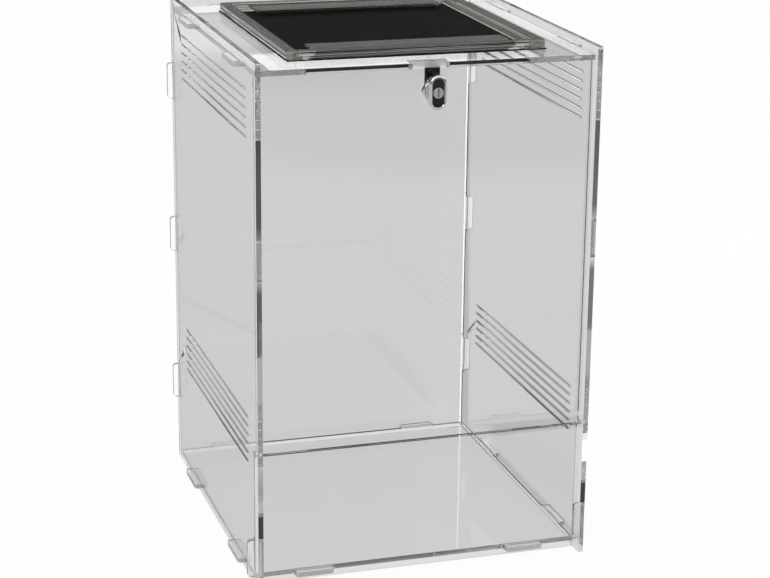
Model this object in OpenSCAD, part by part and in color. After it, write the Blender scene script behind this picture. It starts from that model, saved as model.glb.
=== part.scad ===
// Front-opening reptile terrarium of clear acrylic sheet, with a mesh vent lid and a cam lock
// Millimetres. X runs to the right, Y from the door to the back, Z up from the table.

/* [Enclosure] */
// Width over the outer faces of the side panels
outer_w = 300; // [270:5:420]
// Depth of the side panels, from front edge to back edge
outer_d = 330; // [310:5:420]
// Height of the side panels and the back panel
outer_h = 460; // [400:5:620]
// Thickness of the acrylic sheet that every panel is cut from
sheet = 4.5; // [3:0.5:6]

/* [Panel places] */
// From the side panels' front edges back to the door's front face
door_setback = 9.5; // [7:0.5:14]
// From the side panels' back edges in to the back panel's outer face
back_inset = 5; // [3:0.5:12]
// Height of the lower front panel
dam_h = 119; // [90:1:150]
// From the table up to the floor panel's underside
floor_lift = 4.5; // [3:0.5:10]
// From the side panels' top edges down to the top panel's upper face
top_drop = 7.5; // [6:0.5:16]
// From the side panels' front edges back to the top panel's front edge
top_setback = 5; // [2:0.5:6]

/* [Tabs] */
// Length of the tabs through the front and back and of the upright tabs
tab_len = 34; // [24:1:44]
// Length of the floor's and the top's tabs through the side panels
side_tab_len = 42; // [30:1:60]
// How far a tab stands out of the sheet that it passes through
tab_proud = 6; // [3:0.5:10]
// Radius of a tab's outer corners
tab_corner_r = 3; // [0.5:0.5:3]
// Room round a tab in its slot, on each face
tab_gap = 0.15; // [0.05:0.05:0.3]
// From the side panels' front edges to the middle of the front side tabs
front_tab_y = 72; // [60:1:100]
// From the side panels' back edges to the middle of the rear side tabs
rear_tab_y = 82; // [60:1:100]
// From the side panels' outer faces in to the middle of the front and back tabs
cross_tab_x = 53; // [40:1:75]
// Height of the back panel's lowest side tab, at its middle
back_tab_low = 82; // [60:1:110]
// From the top edge down to the middle of the back panel's highest side tab
back_tab_high = 78; // [60:1:110]
// Height of the lower end of the lower front panel's tab
dam_tab_low = 7; // [6:1:30]

/* [Vent slits] */
// Number of slits in each group
slit_count = 6; // [3:1:8]
// Width of a slit
slit_w = 1.6; // [1:0.1:3]
// Distance from one slit to the next
slit_pitch = 8; // [5:0.5:9]
// From the side panels' front edges to the front ends of the slits
slit_front = 36; // [25:1:60]
// From the side panels' back edges to the rear ends of the slits
slit_rear = 44; // [20:1:60]
// Height of the lowest slit of the lower group
low_slit_z = 106; // [60:1:140]
// From the top edge down to the highest slit of the upper group
high_slit_drop = 28; // [26:1:50]

/* [Door] */
// Gap between the door and each side panel
door_side_gap = 0.8; // [0.5:0.1:2]
// Gap between the door and the top panel
door_top_gap = 0.8; // [0.5:0.1:2]
// Gap between the door and the lower front panel
door_low_gap = 0.5; // [0.5:0.1:2]
// Height of the hinge lug's section
lug_h = 4; // [3:0.5:5]
// How far the hinge lug stands out of the side panel
lug_proud = 1; // [0:0.5:3]
// Radial clearance of the hinge lug's corners in their round hole
lug_play = 0.08; // [0.02:0.01:0.1]
// Width of the tab on the door's top edge
catch_w = 30; // [26:1:50]
// Gap between that tab and each side of the top panel's notch
catch_gap = 1; // [0.5:0.1:2]
// Gap between the cam and the back of the notch
notch_back_gap = 0.9; // [0.5:0.1:3]

/* [Vent lid] */
// Width of the lid
lid_w = 227; // [190:1:245]
// Depth of the lid
lid_d = 250; // [210:1:260]
// Place of the lid's middle from the middle of the side panels
lid_y = -3.5; // [-9:0.5:4]
// Radius of the lid's outer corners
lid_corner_r = 5; // [2:0.5:9]
// Radius of the corners of the vent opening and inside the frames
vent_corner_r = 2; // [1:0.5:5]
// Thickness of the mesh sheet
mesh_t = 1; // [0.5:0.1:1.5]
// Openings across the plain grid that stands for the mesh
grid_across = 12; // [6:1:12]
// Openings from the grid's front to its back
grid_deep = 12; // [6:1:12]
// Width of the grid's bars
grid_bar = 5; // [3:0.5:8]
// Thickness of each of the two frames
frame_t = 3.5; // [2.5:0.5:5]
// Width of the lower frame's members
lower_member = 14; // [12:1:20]
// Width of the upper frame's members
upper_member = 10; // [6:1:12]
// Length of the two clear bars
bar_w = 176; // [120:1:180]
// Depth of the bars, front to back
bar_d = 32; // [16:1:50]
// Thickness of the bars
bar_t = 2; // [1:0.5:3]

/* [Lock] */
// Place of the lock to the right of the door's middle
lock_x = 5; // [-2:0.5:8]
// From the door's top edge down to the lock's axis
lock_drop = 19.2; // [18:0.2:30]
// Diameter of the rose
rose_d = 20.5; // [18:0.5:24]
// Thickness of the rose
rose_t = 2.5; // [1.5:0.5:4]
// Bevel round the rose's front edge
rose_bevel = 0.8; // [0.2:0.1:1.2]
// Diameter of the threaded barrel through the door
barrel_d = 14; // [12:0.5:15]
// Radial clearance of the barrel in the door's hole and in the nut
barrel_gap = 0.1; // [0.05:0.05:0.3]
// How far the barrel stands out of the nut
barrel_proud = 0.5; // [0.2:0.1:2]
// Outer diameter of the washer under the nut
washer_d = 19; // [17:0.5:22]
// Thickness of that washer
washer_t = 0.5; // [0.3:0.1:1]
// Width of the nut across its flats
nut_af = 17.5; // [16.5:0.5:20]
// Thickness of the nut
nut_t = 2.2; // [1.5:0.1:4]
// Width of the oval turn head
head_w = 15; // [12:0.5:18]
// Height of the oval turn head
head_h = 29; // [24:0.5:32]
// Thickness of the turn head
head_t = 7.7; // [5:0.1:12]
// Radius of the turn head's front edge
head_round = 1.5; // [0.5:0.5:3]
// Width of the rim round the turn head's dished face
head_rim = 0.6; // [0.4:0.1:1.5]
// Depth of that dish
head_dish = 0.6; // [0.2:0.1:1.5]
// Running gap between the turn head and the rose
head_gap = 0.3; // [0.2:0.1:1]
// Diameter of the key plug
plug_d = 9; // [8.5:0.5:10]
// Radial running clearance of the key plug
plug_gap = 0.05; // [0.02:0.01:0.1]
// Width of the keyway
key_w = 1.6; // [1:0.1:2]
// Height of the keyway
key_h = 7; // [5:0.5:7.5]
// From the barrel's inner end to the end of the keyway
key_stop = 1.7; // [1:0.1:4]
// Number of wafers in the plug
wafer_count = 4; // [2:1:4]
// Thickness of a wafer
wafer_t = 0.9; // [0.5:0.1:1.1]
// Width of a wafer
wafer_w = 4.8; // [4:0.1:5.2]
// Width of the window in a wafer
wafer_window_w = 2.4; // [2.2:0.1:3]
// Height of the window in a wafer
wafer_window_h = 4.6; // [3:0.1:5.4]
// Clearance of the wafers in their slots
wafer_play = 0.05; // [0.02:0.01:0.1]
// Clearance of the wafers in the barrel
wafer_clear = 0.1; // [0.05:0.05:0.3]
// Place of the first wafer, in front of the door's front face
wafer_first = 1; // [0:0.1:1.5]
// Distance from one wafer to the next
wafer_pitch = 1.8; // [1.5:0.1:1.9]

/* [Cam] */
// Width of the cam
cam_w = 13; // [10:0.5:15]
// Thickness of the cam
cam_t = 2.6; // [2:0.2:4]
// How far the cam's tip ends below the top panel's upper face
cam_tip_drop = 0.5; // [0.2:0.1:2]
// Running gap between the lock's barrel and the cam
cam_gap = 0.3; // [0.2:0.1:1]
// Diameter of the cam's hub
hub_d = 15; // [14:0.5:18]
// Width of the plug's square tail in the cam
tail_w = 6; // [5:0.2:6]
// Clearance of that square in the cam, on each face
tail_gap = 0.05; // [0.02:0.01:0.2]
// How far the square tail ends inside the cam, so that the washer clamps the cam
tail_short = 0.1; // [0.05:0.05:0.5]
// Outer diameter of the cam washer
cam_washer_d = 12; // [10:0.5:14]
// Thickness of the cam washer
cam_washer_t = 0.8; // [0.5:0.1:1.5]
// Radial clearance of the cam washer on the screw
washer_play = 0.15; // [0.05:0.05:0.5]
// Thread diameter of the cam screw
screw_d = 4; // [3:0.5:4]
// How far the cam screw reaches past the cam's back face
screw_reach = 3.8; // [3:0.1:4]
// Radial clearance of the screw in the plug
screw_play = 0.05; // [0.02:0.01:0.1]
// Diameter of the cam screw's head
screw_head_d = 8; // [6.5:0.5:9]
// Height of the cam screw's head
screw_head_t = 2; // [1.5:0.1:3]
// Width of the slot in the cam screw's head
screw_slot_w = 1; // [0.6:0.1:1.5]

/* [Hidden] */
$fn = 64;

// Overrun of a cut past a face, and lap of two joined outlines
lap = 1;
clear_acrylic = [0.86, 0.9, 0.91, 0.45];
mesh_black = [0.14, 0.15, 0.14];
lock_chrome = [0.78, 0.78, 0.8];
cam_black = [0.08, 0.08, 0.09];
bright_steel = [0.7, 0.7, 0.71];

// Faces of the panels
side_out = outer_w / 2;
side_in = side_out - sheet;
front_edge = -outer_d / 2;
back_edge = outer_d / 2;
door_front = front_edge + door_setback;
door_back = door_front + sheet;
dam_front = door_back;
dam_back = dam_front + sheet;
back_out = back_edge - back_inset;
back_in = back_out - sheet;
floor_top = floor_lift + sheet;
top_face = outer_h - top_drop;
top_under = top_face - sheet;
top_front = front_edge + top_setback;

// Tabs
tab_reach = sheet + tab_proud;
side_tab_ys = [front_edge + front_tab_y, back_edge - rear_tab_y];
cross_tab_xs = [-side_out + cross_tab_x, side_out - cross_tab_x];
back_tab_top = outer_h - back_tab_high;
back_tab_zs = [back_tab_low, (back_tab_low + back_tab_top) / 2, back_tab_top];
dam_tab_z = dam_tab_low + tab_len / 2;
slot_w = sheet + 2 * tab_gap;

// Slits
slit_len = outer_d - slit_front - slit_rear;
slit_mid = front_edge + slit_front + slit_len / 2;

// Door and its hinge
door_half = side_in - door_side_gap;
door_low = dam_h + door_low_gap;
door_high = top_under - door_top_gap;
pivot_y = door_front + sheet / 2;
pivot_z = door_low + sheet / 2;
lug_half_diagonal = norm([sheet, lug_h]) / 2;
hinge_hole_r = lug_half_diagonal + lug_play;

// Vent lid
vent_w = lid_w - 2 * lower_member;
vent_d = lid_d - 2 * lower_member;
mesh_top = top_face + mesh_t;
cell_w = vent_w / grid_across;
cell_d = vent_d / grid_deep;
upper_frame_z = mesh_top + frame_t;
bar_edge = lid_d / 2 - upper_member;

// Lock, measured along its axis from the door's front face, outwards positive
lock_z = door_high - lock_drop;
plug_r = plug_d / 2;
bore_r = plug_r + plug_gap;
nut_face = -sheet - washer_t;
barrel_end = nut_face - nut_t - barrel_proud;
head_back = rose_t + head_gap;
head_face = head_back + head_t - head_dish;
cam_face = barrel_end - cam_gap;
cam_back = cam_face - cam_t;
cam_reach = lock_drop + door_top_gap + sheet - cam_tip_drop;
screw_seat = cam_back - cam_washer_t;
key_end = barrel_end + key_stop;
screw_end = cam_back + screw_reach;
tail_end = cam_back + tail_short;
wafer_h = 2 * (sqrt(plug_r * plug_r - wafer_w * wafer_w / 4) - wafer_clear);

// Notch in the top panel for the door's tab and the cam
notch_w = catch_w + 2 * catch_gap;
notch_back = door_front - cam_back + notch_back_gap;

// Plane helpers: a flat outline becomes a sheet in its own plane
module in_side_plane(x) {
    translate([x, 0, 0]) rotate([90, 0, 90]) linear_extrude(sheet) children();
}

module in_front_plane(y_back) {
    translate([0, y_back, 0]) rotate([90, 0, 0]) linear_extrude(sheet) children();
}

module in_level_plane(z, thickness) {
    translate([0, 0, z]) linear_extrude(thickness) children();
}

// Outline of a slot with round ends, lying along x
module slot_outline(length, width) {
    straight = length - width;
    square([straight, width], center = true);
    for (s = [-1, 1]) translate([s * straight / 2, 0]) circle(d = width);
}

// Slot that a tab of this length passes through
module tab_slot(length) {
    slot_outline(length + slot_w, slot_w);
}

// Tab that points along y from the edge it grows from
module tab_outline(length) {
    r = tab_corner_r;
    translate([-length / 2, -lap]) square([length, tab_reach + lap - r]);
    translate([-length / 2 + r, -lap]) square([length - 2 * r, tab_reach + lap]);
    for (s = [-1, 1]) translate([s * (length / 2 - r), tab_reach - r]) circle(r = r);
}

// Rectangle with round corners about its middle
module round_rect(width, depth, r) {
    square([width - 2 * r, depth], center = true);
    square([width, depth - 2 * r], center = true);
    for (sx = [-1, 1]) for (sy = [-1, 1])
        translate([sx * (width / 2 - r), sy * (depth / 2 - r)]) circle(r = r);
}

// Rectangle between two corners
module span_rect(x_from, x_to, y_from, y_to) {
    translate([x_from, y_from]) square([x_to - x_from, y_to - y_from]);
}

// Side panel, drawn in the plane of Y and Z
module slit_group(z_low) {
    for (k = [0 : slit_count - 1])
        translate([slit_mid, z_low + k * slit_pitch]) slot_outline(slit_len, slit_w);
}

module side_outline() {
    difference() {
        span_rect(front_edge, back_edge, 0, outer_h);
        for (y = side_tab_ys) {
            translate([y, floor_lift + sheet / 2]) tab_slot(side_tab_len);
            translate([y, top_face - sheet / 2]) tab_slot(side_tab_len);
        }
        for (z = back_tab_zs) translate([back_out - sheet / 2, z]) rotate(90) tab_slot(tab_len);
        translate([dam_front + sheet / 2, dam_tab_z]) rotate(90) tab_slot(tab_len);
        translate([pivot_y, pivot_z]) circle(r = hinge_hole_r);
        slit_group(low_slit_z);
        slit_group(outer_h - high_slit_drop - (slit_count - 1) * slit_pitch);
    }
}

module left_side_panel() {
    color(clear_acrylic) in_side_plane(-side_out) side_outline();
}

module right_side_panel() {
    color(clear_acrylic) in_side_plane(side_in) side_outline();
}

// Tabs to both sides of an upright or level sheet, at these places along its edge
module tabs_to_sides(places, length) {
    for (s = [-1, 1]) for (p = places)
        translate([s * side_in, p]) rotate(-90 * s) tab_outline(length);
}

module back_panel() {
    color(clear_acrylic) in_front_plane(back_out) difference() {
        union() {
            span_rect(-side_in, side_in, 0, outer_h);
            tabs_to_sides(back_tab_zs, tab_len);
        }
        for (x = cross_tab_xs) {
            translate([x, floor_lift + sheet / 2]) tab_slot(tab_len);
            translate([x, top_face - sheet / 2]) tab_slot(tab_len);
        }
    }
}

module floor_panel() {
    color(clear_acrylic) in_level_plane(floor_lift, sheet) {
        span_rect(-side_in, side_in, dam_back, back_in);
        tabs_to_sides(side_tab_ys, side_tab_len);
        for (x = cross_tab_xs) {
            translate([x, dam_back]) rotate(180) tab_outline(tab_len);
            translate([x, back_in]) tab_outline(tab_len);
        }
    }
}

module lower_front_panel() {
    color(clear_acrylic) in_front_plane(dam_back) difference() {
        union() {
            span_rect(-side_in, side_in, 0, dam_h);
            tabs_to_sides([dam_tab_z], tab_len);
        }
        for (x = cross_tab_xs) translate([x, floor_lift + sheet / 2]) tab_slot(tab_len);
    }
}

module top_panel() {
    color(clear_acrylic) in_level_plane(top_under, sheet) difference() {
        union() {
            span_rect(-side_in, side_in, top_front, back_in);
            tabs_to_sides(side_tab_ys, side_tab_len);
            for (x = cross_tab_xs) translate([x, back_in]) tab_outline(tab_len);
        }
        translate([0, lid_y]) round_rect(vent_w, vent_d, vent_corner_r);
        span_rect(-notch_w / 2, notch_w / 2, top_front - lap, notch_back);
    }
}

// Drop-down door: its lugs turn in the side panels' round holes
module front_door() {
    color(clear_acrylic) in_front_plane(door_back) difference() {
        union() {
            span_rect(-door_half, door_half, door_low, door_high);
            span_rect(-catch_w / 2, catch_w / 2, door_high - lap, top_face);
            span_rect(-side_out - lug_proud, side_out + lug_proud, pivot_z - lug_h / 2, pivot_z + lug_h / 2);
        }
        translate([lock_x, lock_z]) circle(r = barrel_d / 2 + barrel_gap);
    }
}

// Vent lid: mesh under two frames, with a clear bar along the front and the back
module lid_ring(member, z) {
    in_level_plane(z, frame_t) translate([0, lid_y]) difference() {
        round_rect(lid_w, lid_d, lid_corner_r);
        round_rect(lid_w - 2 * member, lid_d - 2 * member, vent_corner_r);
    }
}

// Mesh sheet, whose fine weave is stood for by a plain grid over the vent opening
module vent_mesh() {
    color(mesh_black) in_level_plane(top_face, mesh_t) translate([0, lid_y]) difference() {
        round_rect(lid_w, lid_d, lid_corner_r);
        for (column = [0 : grid_across - 1], row = [0 : grid_deep - 1])
            translate([(column + 0.5) * cell_w - vent_w / 2, (row + 0.5) * cell_d - vent_d / 2])
                square([cell_w - grid_bar, cell_d - grid_bar], center = true);
    }
}

module vent_lower_frame() {
    color(clear_acrylic) lid_ring(lower_member, mesh_top);
}

module vent_upper_frame() {
    color(clear_acrylic) lid_ring(upper_member, upper_frame_z);
}

module lid_bar(y_from) {
    in_level_plane(upper_frame_z, bar_t) span_rect(-bar_w / 2, bar_w / 2, y_from, y_from + bar_d);
}

module vent_bar_front() {
    color(clear_acrylic) lid_bar(lid_y - bar_edge);
}

module vent_bar_rear() {
    color(clear_acrylic) lid_bar(lid_y + bar_edge - bar_d);
}

// Lock pieces are drawn about an axis that points out of the door's front face
module at_lock() {
    translate([lock_x, door_front, lock_z]) rotate([90, 0, 0]) children();
}

module lock_span(from, to) {
    translate([0, 0, from]) linear_extrude(to - from) children();
}

module lock_rose() {
    rose_r = rose_d / 2;
    color(lock_chrome) at_lock() rotate_extrude() polygon([
        [bore_r, barrel_end],
        [barrel_d / 2, barrel_end],
        [barrel_d / 2, 0],
        [rose_r, 0],
        [rose_r, rose_t - rose_bevel],
        [rose_r - rose_bevel, rose_t],
        [bore_r, rose_t]
    ]);
}

module lock_washer() {
    color(bright_steel) at_lock() lock_span(nut_face, -sheet) difference() {
        circle(d = washer_d);
        circle(r = barrel_d / 2 + barrel_gap);
    }
}

module lock_nut() {
    color(bright_steel) at_lock() lock_span(nut_face - nut_t, nut_face) difference() {
        circle(d = nut_af / cos(30), $fn = 6);
        circle(r = barrel_d / 2 + barrel_gap);
    }
}

// Half of the turn head's section: flat at the back, rounded at the front edge
module head_half_section() {
    half = head_w / 2;
    square([half - head_round, head_t]);
    square([half, head_t - head_round]);
    translate([half - head_round, head_t - head_round]) circle(r = head_round);
}

module lock_turn_head() {
    straight = head_h - head_w;
    color(lock_chrome) at_lock() difference() {
        translate([0, 0, head_back]) {
            for (s = [-1, 1]) translate([0, s * straight / 2, 0]) rotate_extrude() intersection() {
                head_half_section();
                square([head_w, head_t]);
            }
            rotate([90, 0, 0]) linear_extrude(straight, center = true) {
                head_half_section();
                mirror([1, 0]) head_half_section();
            }
        }
        lock_span(head_face, head_face + head_dish + lap) rotate(90)
            slot_outline(head_h - 2 * (head_rim + head_round), head_w - 2 * (head_rim + head_round));
        lock_span(head_back - lap, head_face + lap) circle(r = bore_r);
    }
}

function wafer_place(k) = wafer_first - k * wafer_pitch;

module lock_key_plug() {
    color(lock_chrome) at_lock() difference() {
        union() {
            lock_span(cam_face, head_face) circle(r = plug_r);
            lock_span(tail_end, cam_face + lap) square(tail_w, center = true);
        }
        lock_span(key_end, head_face + lap) square([key_w, key_h], center = true);
        for (k = [0 : wafer_count - 1]) lock_span(
            wafer_place(k) - wafer_t / 2 - wafer_play,
            wafer_place(k) + wafer_t / 2 + wafer_play
        ) square([wafer_w + 2 * wafer_play, plug_d + lap], center = true);
        lock_span(tail_end - lap, screw_end + screw_play) circle(r = screw_d / 2 + screw_play);
    }
}

module lock_wafers() {
    color("goldenrod") at_lock() for (k = [0 : wafer_count - 1])
        lock_span(wafer_place(k) - wafer_t / 2, wafer_place(k) + wafer_t / 2) difference() {
            square([wafer_w, wafer_h], center = true);
            square([wafer_window_w, wafer_window_h], center = true);
        }
}

module lock_cam() {
    color(cam_black) at_lock() lock_span(cam_back, cam_face) difference() {
        union() {
            circle(d = hub_d);
            span_rect(-cam_w / 2, cam_w / 2, 0, cam_reach - cam_w / 2);
            translate([0, cam_reach - cam_w / 2]) circle(d = cam_w);
        }
        square(tail_w + 2 * tail_gap, center = true);
    }
}

module cam_washer() {
    color(bright_steel) at_lock() lock_span(screw_seat, cam_back) difference() {
        circle(d = cam_washer_d);
        circle(r = screw_d / 2 + washer_play);
    }
}

module cam_screw() {
    color(bright_steel) at_lock() difference() {
        union() {
            lock_span(screw_seat - screw_head_t, screw_seat) circle(d = screw_head_d);
            lock_span(screw_seat - lap, screw_end) circle(d = screw_d);
        }
        lock_span(screw_seat - screw_head_t - lap, screw_seat - screw_head_t / 2)
            square([screw_head_d + lap, screw_slot_w], center = true);
    }
}

left_side_panel();
right_side_panel();
back_panel();
floor_panel();
lower_front_panel();
top_panel();
front_door();
vent_mesh();
vent_lower_frame();
vent_upper_frame();
vent_bar_front();
vent_bar_rear();
lock_rose();
lock_washer();
lock_nut();
lock_turn_head();
lock_key_plug();
lock_wafers();
lock_cam();
cam_washer();
cam_screw();
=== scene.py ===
"""Clear acrylic reptile terrarium: polished panels, a mesh vent lid and a cam lock, round the frame."""

import logging
import math
import random
from collections.abc import Callable, Sequence
from dataclasses import dataclass, field
from enum import Enum

import bmesh
import bpy
from mathutils import Matrix, Vector


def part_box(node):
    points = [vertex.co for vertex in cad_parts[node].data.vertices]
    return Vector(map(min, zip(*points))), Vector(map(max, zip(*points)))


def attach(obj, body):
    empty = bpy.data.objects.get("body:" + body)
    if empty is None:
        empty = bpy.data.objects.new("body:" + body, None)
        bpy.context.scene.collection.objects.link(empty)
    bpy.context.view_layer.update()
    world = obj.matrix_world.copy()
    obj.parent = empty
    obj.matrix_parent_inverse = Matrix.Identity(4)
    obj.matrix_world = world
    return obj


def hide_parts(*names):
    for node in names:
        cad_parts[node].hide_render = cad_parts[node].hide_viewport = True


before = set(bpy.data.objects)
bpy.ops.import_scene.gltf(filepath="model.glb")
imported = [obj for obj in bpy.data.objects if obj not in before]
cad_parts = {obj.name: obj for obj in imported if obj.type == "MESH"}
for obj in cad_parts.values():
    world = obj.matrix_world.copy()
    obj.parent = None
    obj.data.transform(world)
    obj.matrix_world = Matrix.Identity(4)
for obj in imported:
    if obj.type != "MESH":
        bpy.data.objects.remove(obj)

LOG = logging.getLogger("terrarium")
MM = 0.001
SAME_PLACE = 0.001 * MM
NOISE_RANGE = (0.3, 0.7)
SMEAR_RANGE = (0.55, 0.75)
DUST_RANGE = (0.6, 0.8)
ALONG_EDGE = 0.03
SHARP_FROM = 35.0
SMOOTH_ROUND = 40.0

Colour = tuple[float, float, float]
BMesh = bmesh.types.BMesh
Material = bpy.types.Material
Node = bpy.types.Node
Socket = bpy.types.NodeSocket
Value = Socket | float
Stops = tuple[tuple[float, float], ...]


class Axis(Enum):
    """The direction across a sheet's thickness."""

    X = (1.0, 0.0, 0.0)
    Y = (0.0, 1.0, 0.0)
    Z = (0.0, 0.0, 1.0)


class Body(Enum):
    """The bodies that pieces ride on."""

    ENCLOSURE = "enclosure"
    DOOR = "door"
    LOCK = "lock_turner"


class Slot(Enum):
    """The record's material slots."""

    ACRYLIC = "clear_acrylic"
    MESH = "black_mesh"
    CHROME = "lock_chrome"
    STEEL = "bright_steel"
    BRASS = "wafer_brass"
    CAM = "cam_black"


class Graph:
    """Adds and links the nodes of one shader tree."""

    def __init__(self, tree: bpy.types.NodeTree) -> None:
        """Keeps the tree.

        Args:
            tree: the material's, world's or group's node tree.
        """
        self.tree = tree

    def add(self, kind: str, values: dict[str | int, object] | None = None, **settings: object) -> Node:
        """Adds a node.

        Args:
            kind: the node's type name.
            values: constants for its input sockets, by name or number.
            settings: the node's own properties.

        Returns:
            The new node.
        """
        node = self.tree.nodes.new(kind)
        for name, value in settings.items():
            setattr(node, name, value)
        for socket, value in (values or {}).items():
            node.inputs[socket].default_value = value
        return node

    def place(self) -> Socket:
        """Gives the place on the object, in metres."""
        return self.add("ShaderNodeTexCoord").outputs["Object"]

    def link(self, source: Socket, target: Socket) -> None:
        """Links two sockets."""
        self.tree.links.new(source, target)

    def feed(self, value: Value, target: Socket) -> None:
        """Gives a socket its value, by a link or as a constant.

        Args:
            value: a socket or a number.
            target: the input socket.
        """
        if isinstance(value, Socket):
            self.link(value, target)
        else:
            target.default_value = value

    def math(self, operation: str, *values: Value) -> Socket:
        """Adds a Math node.

        Args:
            operation: the Math node's operation.
            values: its inputs in order, each a socket or a number.

        Returns:
            The result's socket.
        """
        node = self.add("ShaderNodeMath", operation=operation)
        for value, target in zip(values, node.inputs):
            self.feed(value, target)
        return node.outputs[0]

    def span(self, value: Socket, low: float, high: float, to_low: float, to_high: float) -> Socket:
        """Maps a value from one range to another, clamped.

        Args:
            value: the socket to map.
            low: start of its range.
            high: end of its range.
            to_low: result at the start.
            to_high: result at the end.

        Returns:
            The mapped value's socket.
        """
        node = self.add("ShaderNodeMapRange", {1: low, 2: high, 3: to_low, 4: to_high})
        self.link(value, node.inputs[0])
        return node.outputs[0]

    def pick(self, factor: Socket, low: Value, high: Value) -> Socket:
        """Chooses between two values.

        Args:
            factor: 0 for the first value, 1 for the second.
            low: the first value.
            high: the second value.

        Returns:
            The chosen value's socket.
        """
        node = self.add("ShaderNodeMix", data_type="FLOAT")
        for value, target in zip((factor, low, high), (node.inputs[0], node.inputs[2], node.inputs[3])):
            self.feed(value, target)
        return node.outputs[0]

    def ramp(self, value: Socket, reach: float, stops: Stops) -> Socket:
        """Turns a distance into a brightness.

        Args:
            value: the distance, from 0 up, in metres.
            reach: the distance at the ramp's end.
            stops: distances and their brightness, in order.

        Returns:
            The brightness.
        """
        node = self.add("ShaderNodeValToRGB")
        elements = node.color_ramp.elements
        elements[0].position = stops[0][0] / reach
        elements[1].position = stops[-1][0] / reach
        for place, _ in stops[1:-1]:
            elements.new(place / reach)
        for element, (_, level) in zip(elements, stops):
            element.color = (level, level, level, 1.0)
        self.link(self.math("DIVIDE", value, reach), node.inputs[0])
        return node.outputs["Color"]

    def mix(self, factor: Socket, low: Colour, high: Colour) -> Socket:
        """Mixes two colours.

        Args:
            factor: 0 for the first colour, 1 for the second.
            low: the first colour.
            high: the second colour.

        Returns:
            The mixed colour's socket.
        """
        node = self.add("ShaderNodeMix", data_type="RGBA")
        for value, target in ((low, node.inputs[6]), (high, node.inputs[7])):
            target.default_value = (*value, 1.0)
        self.link(factor, node.inputs[0])
        return node.outputs[2]

    def bump(self, height: Socket, depth: float, shader: Node) -> None:
        """Feeds a height to a shader's normal.

        Args:
            height: the height, from 0 to 1.
            depth: how deep a height of 1 is, in metres.
            shader: the shader.
        """
        node = self.add("ShaderNodeBump", {"Strength": 1.0, "Distance": depth})
        self.link(height, node.inputs["Height"])
        self.link(node.outputs[0], shader.inputs["Normal"])


def group_tree(
    name: str, inputs: dict[str, float | Colour], outputs: Sequence[str]
) -> tuple[Graph, Node, Node]:
    """Starts a shader node group with named sockets.

    Args:
        name: the group's name.
        inputs: the default of each input, a number or a vector.
        outputs: the outputs, all numbers.

    Returns:
        The group's graph, its input node and its output node.
    """
    tree = bpy.data.node_groups.new(name, "ShaderNodeTree")
    for label, default in inputs.items():
        kind = "NodeSocketVector" if isinstance(default, tuple) else "NodeSocketFloat"
        tree.interface.new_socket(label, in_out="INPUT", socket_type=kind).default_value = default
    for label in outputs:
        tree.interface.new_socket(label, in_out="OUTPUT", socket_type="NodeSocketFloat")
    graph = Graph(tree)
    return graph, graph.add("NodeGroupInput"), graph.add("NodeGroupOutput")


def build_cut_edge() -> None:
    """Group for the laser's fine striations, which run straight across a sheet's cut edge."""
    inputs = {"Sheet Axis": (0.0, 0.0, 1.0), "Lines per Metre": 900.0}
    graph, given, out = group_tree("cut_edge", inputs, ("Striation",))
    squeeze = {1: (ALONG_EDGE - 1.0,) * 3, 2: (1.0, 1.0, 1.0)}
    across = graph.add("ShaderNodeVectorMath", squeeze, operation="MULTIPLY_ADD")
    graph.link(given.outputs["Sheet Axis"], across.inputs[0])
    flat = graph.add("ShaderNodeVectorMath", operation="MULTIPLY")
    graph.link(graph.place(), flat.inputs[0])
    graph.link(across.outputs[0], flat.inputs[1])
    noise = graph.add("ShaderNodeTexNoise", {"Detail": 2.0, "Roughness": 0.6})
    graph.link(flat.outputs[0], noise.inputs["Vector"])
    graph.link(given.outputs["Lines per Metre"], noise.inputs["Scale"])
    graph.link(noise.outputs["Fac"], out.inputs["Striation"])


def build_handling() -> None:
    """Group for what handling leaves on a polished face: faint smears and settled dust."""
    graph, given, out = group_tree("handling", {"Smear Scale": 14.0}, ("Smear", "Dust"))
    noise = graph.add("ShaderNodeTexNoise", {"Detail": 2.0, "Roughness": 0.55})
    graph.link(graph.place(), noise.inputs["Vector"])
    graph.link(given.outputs["Smear Scale"], noise.inputs["Scale"])
    graph.link(graph.span(noise.outputs["Fac"], *SMEAR_RANGE, 0.0, 1.0), out.inputs["Smear"])
    shades = graph.add("ShaderNodeSeparateColor")
    graph.link(noise.outputs["Color"], shades.inputs[0])
    graph.link(graph.span(shades.outputs["Green"], *DUST_RANGE, 0.0, 1.0), out.inputs["Dust"])


def build_speckle() -> None:
    """Group for the fine grain of plated and coated metal."""
    graph, given, out = group_tree("speckle", {"Scale": 1500.0}, ("Fine", "Broad"))
    place = graph.place()
    for label, share in (("Fine", 1.0), ("Broad", 0.12)):
        noise = graph.add("ShaderNodeTexNoise", {"Detail": 4.0})
        graph.link(place, noise.inputs["Vector"])
        graph.link(graph.math("MULTIPLY", given.outputs["Scale"], share), noise.inputs["Scale"])
        graph.link(noise.outputs["Fac"], out.inputs[label])


def use_group(graph: Graph, name: str, build: Callable[[], None], values: dict[str, object]) -> Node:
    """Places a shared node group in a material.

    Args:
        graph: the material's graph.
        name: the group's name.
        build: makes the group when it isn't there yet.
        values: constants for the group's inputs.

    Returns:
        The group node.
    """
    if name not in bpy.data.node_groups:
        build()
    node = graph.add("ShaderNodeGroup")
    node.node_tree = bpy.data.node_groups[name]
    for label, value in values.items():
        node.inputs[label].default_value = value
    return node


def empty_graph(owner: Material | bpy.types.World) -> Graph:
    """Empties the node tree of a material or of the world.

    Args:
        owner: the material or the world.

    Returns:
        The empty tree's graph.
    """
    owner.use_nodes = True
    owner.node_tree.nodes.clear()
    return Graph(owner.node_tree)


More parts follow.
